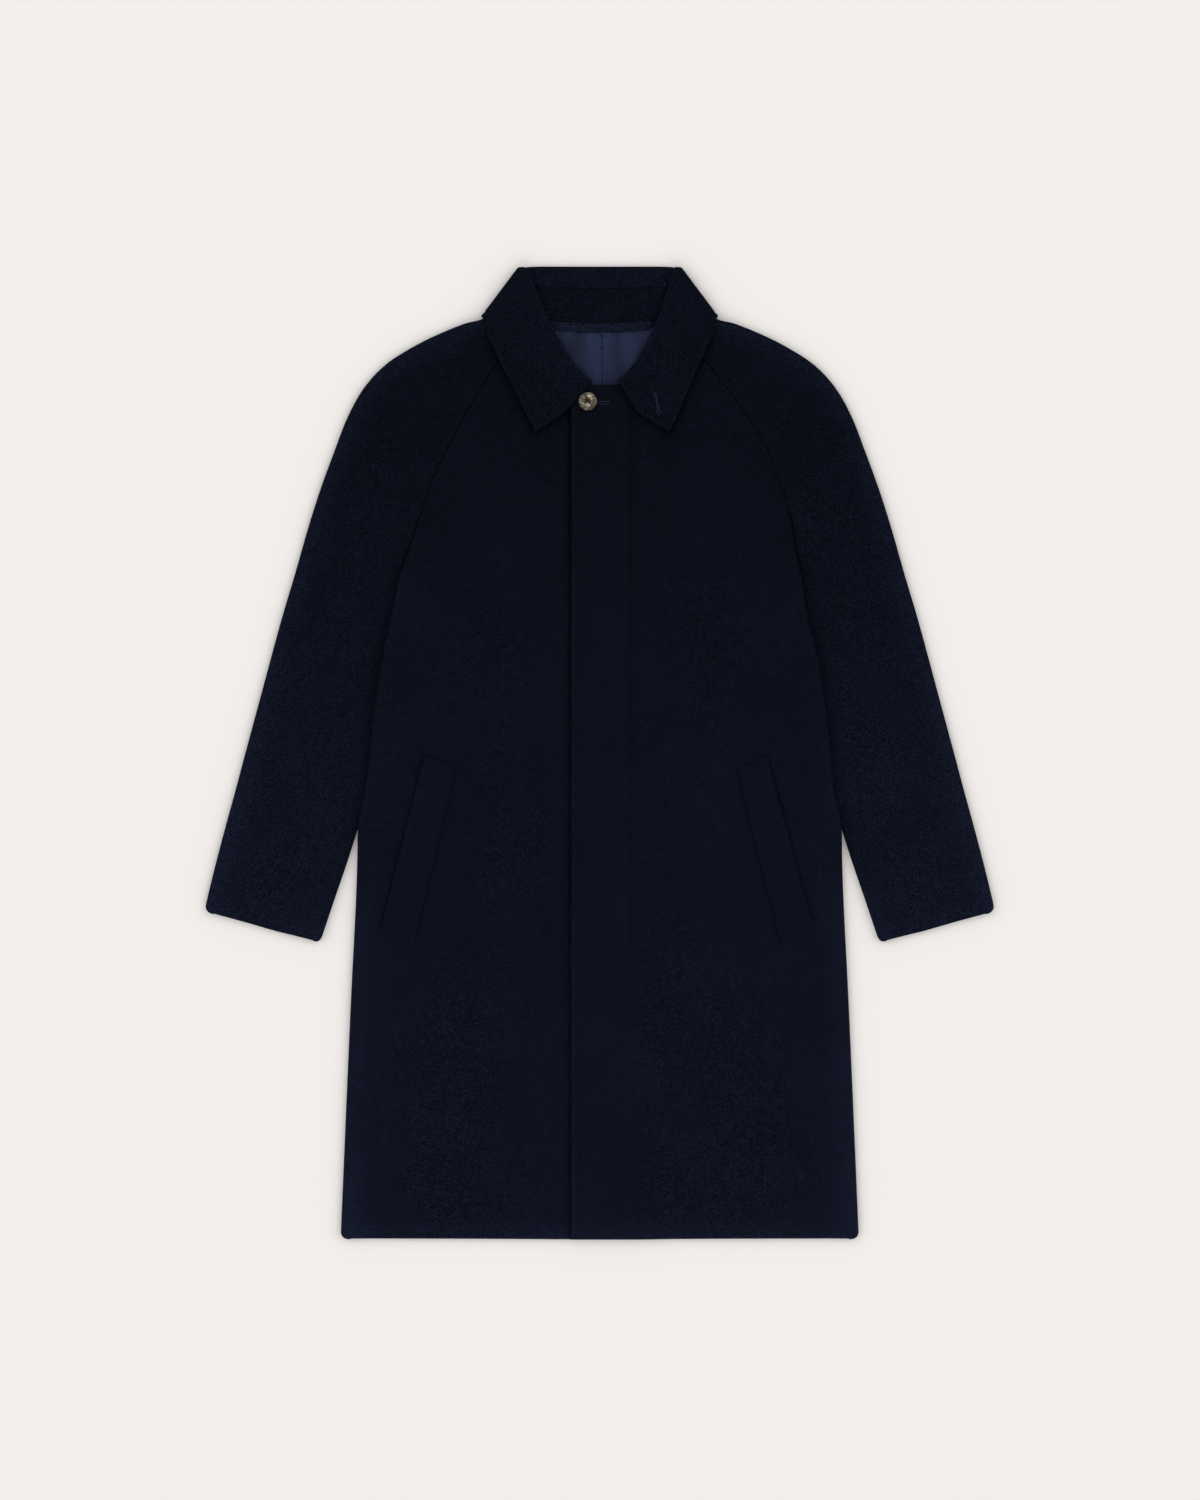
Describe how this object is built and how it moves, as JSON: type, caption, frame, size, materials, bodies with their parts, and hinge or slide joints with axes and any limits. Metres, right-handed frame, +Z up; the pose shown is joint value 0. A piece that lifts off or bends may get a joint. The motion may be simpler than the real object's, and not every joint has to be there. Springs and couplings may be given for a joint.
{
  "type": "balmacaan coat",
  "caption": "Knee-length balmacaan overcoat in dark wool laid flat face up, with raglan sleeves, a turned-down collar, a fly front and slanted welt pockets.",
  "frame": {"origin": "middle of the laid coat's outline, on the surface it lies on", "axes": "+Y from the hem to the collar, +X to the wearer's left, +Z up from the surface"},
  "size_m": [0.871, 1.072, 0.0153],
  "materials": {
    "wool": "brushed wool coating, very dark navy",
    "lining": "smooth slate blue lining",
    "horn": "mottled brown horn",
    "thread": "dark navy sewing thread"
  },
  "bodies": {
    "root": {"back": "wool", "front_right": "wool", "front_left": "wool", "sleeve_front_right": "wool", "sleeve_front_left": "wool", "sleeve_back_right": "wool", "sleeve_back_left": "wool", "collar": "wool", "collar_stand": "wool", "back_lining": "lining", "pocket_welt_right": "wool", "pocket_welt_left": "wool", "top_button": "horn"}
  },
  "joints": []
}
